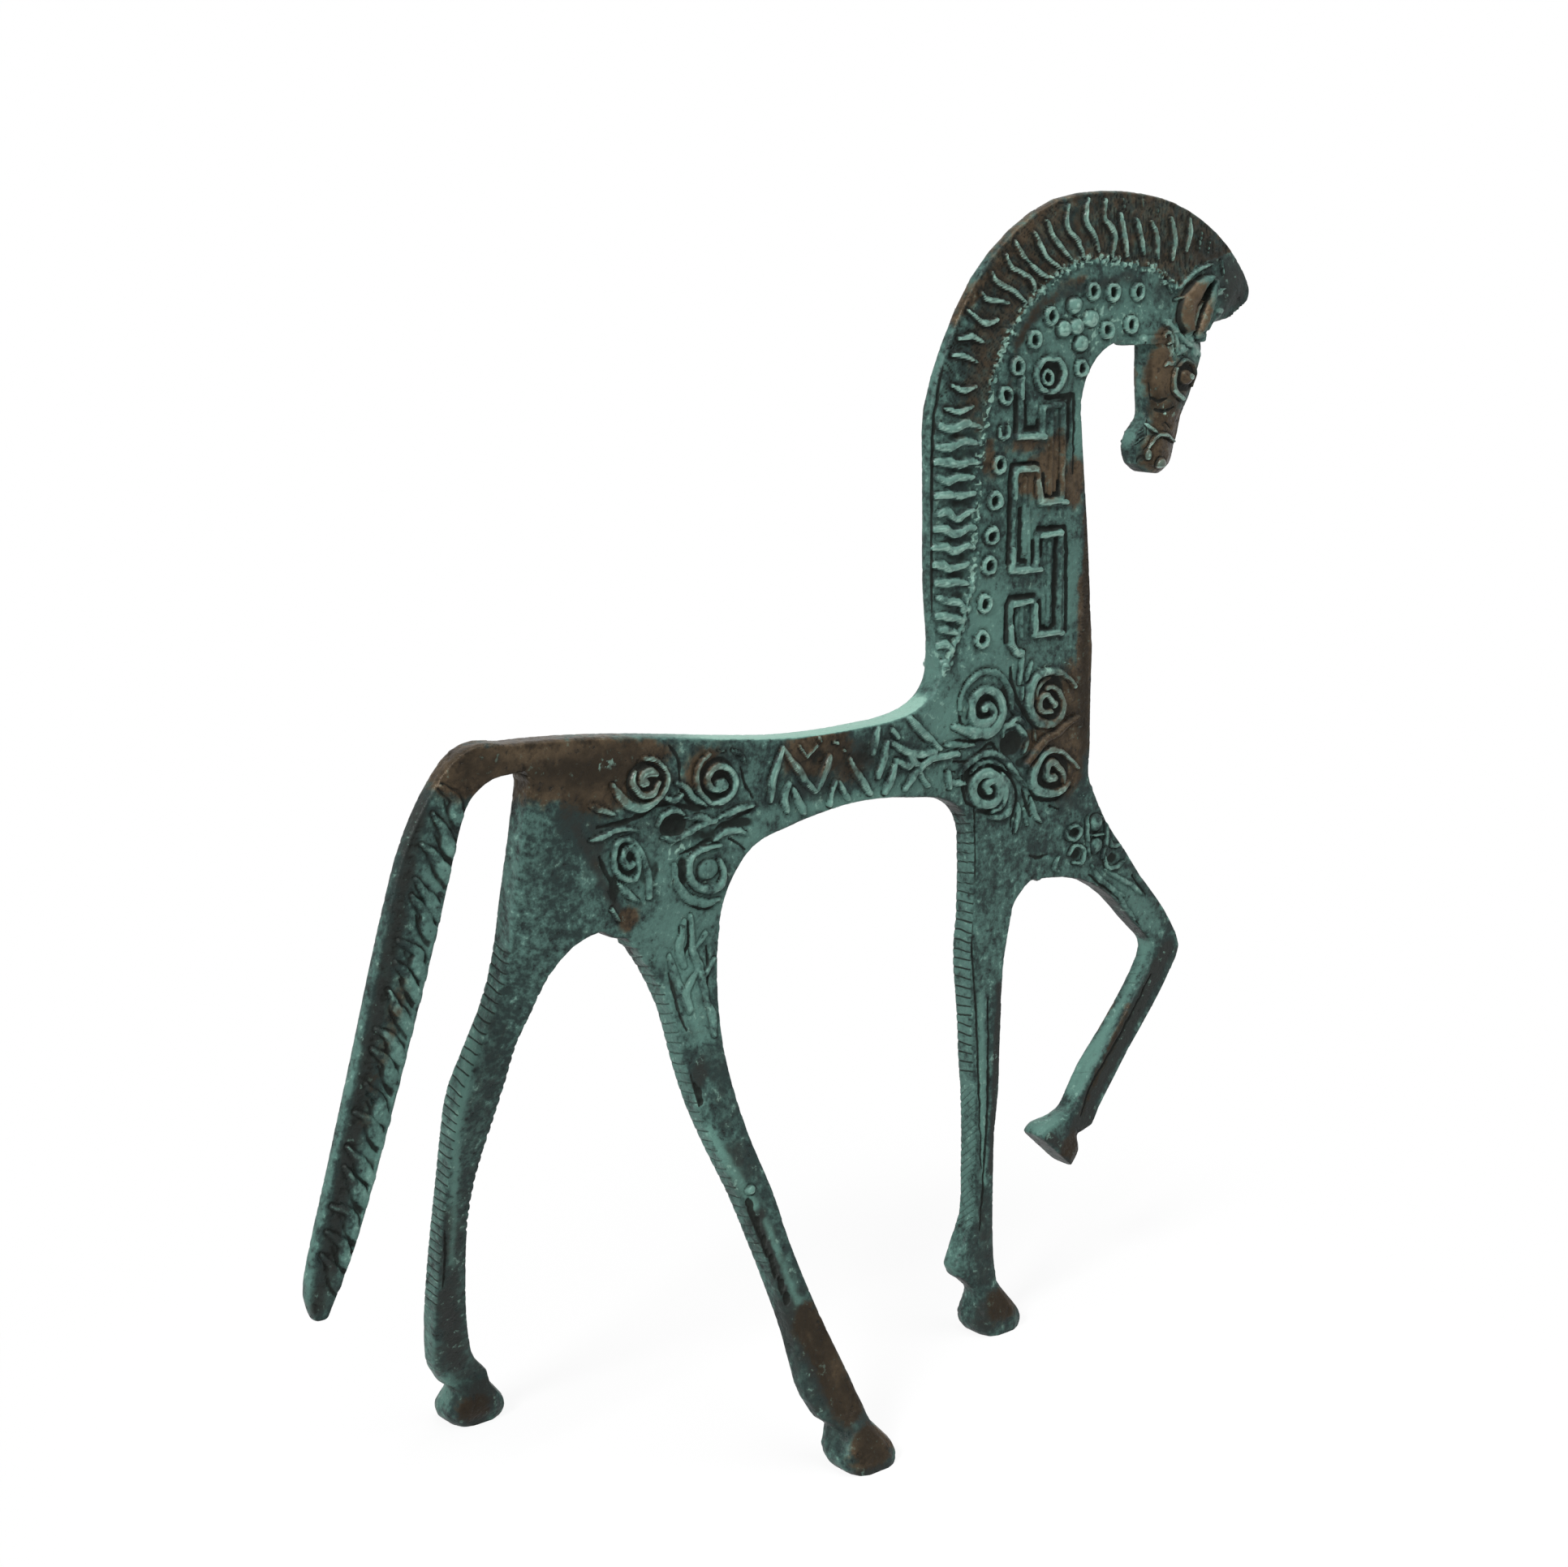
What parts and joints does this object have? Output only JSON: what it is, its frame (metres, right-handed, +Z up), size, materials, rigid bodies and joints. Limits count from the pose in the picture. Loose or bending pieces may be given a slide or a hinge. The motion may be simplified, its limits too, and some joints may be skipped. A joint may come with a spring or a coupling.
{
  "type": "bronze horse sculpture",
  "caption": "Free-standing flat-cast bronze horse with arched neck, one raised fore leg, splayed hind legs and relief ornament, for a shelf or table.",
  "frame": {"origin": "on the ground under the middle of the figure", "axes": "+X towards the head, +Y towards the horse's left side, +Z up"},
  "size_m": [0.268, 0.0856, 0.27],
  "materials": {
    "verdigris_bronze": "cast bronze with dark grooves and pale verdigris on the relief",
    "worn_bronze": "cast bronze worn back to brown with verdigris traces",
    "pin_bronze": "drawn bronze pin"
  },
  "bodies": {
    "root": {"body_plate": "verdigris_bronze", "neck": "verdigris_bronze", "head": "worn_bronze", "tail": "verdigris_bronze", "right_hind_leg": "verdigris_bronze", "left_hind_leg": "verdigris_bronze", "left_fore_leg": "verdigris_bronze", "right_fore_leg": "verdigris_bronze", "neck_dowel_1": "pin_bronze", "neck_dowel_2": "pin_bronze", "head_dowel_1": "pin_bronze", "head_dowel_2": "pin_bronze", "tail_dowel_1": "pin_bronze", "left_hind_dowel_1": "pin_bronze", "left_hind_dowel_2": "pin_bronze", "right_hind_dowel_1": "pin_bronze", "right_hind_dowel_2": "pin_bronze", "left_fore_dowel_1": "pin_bronze", "left_fore_dowel_2": "pin_bronze", "right_fore_dowel_1": "pin_bronze", "right_fore_dowel_2": "pin_bronze"}
  },
  "joints": []
}
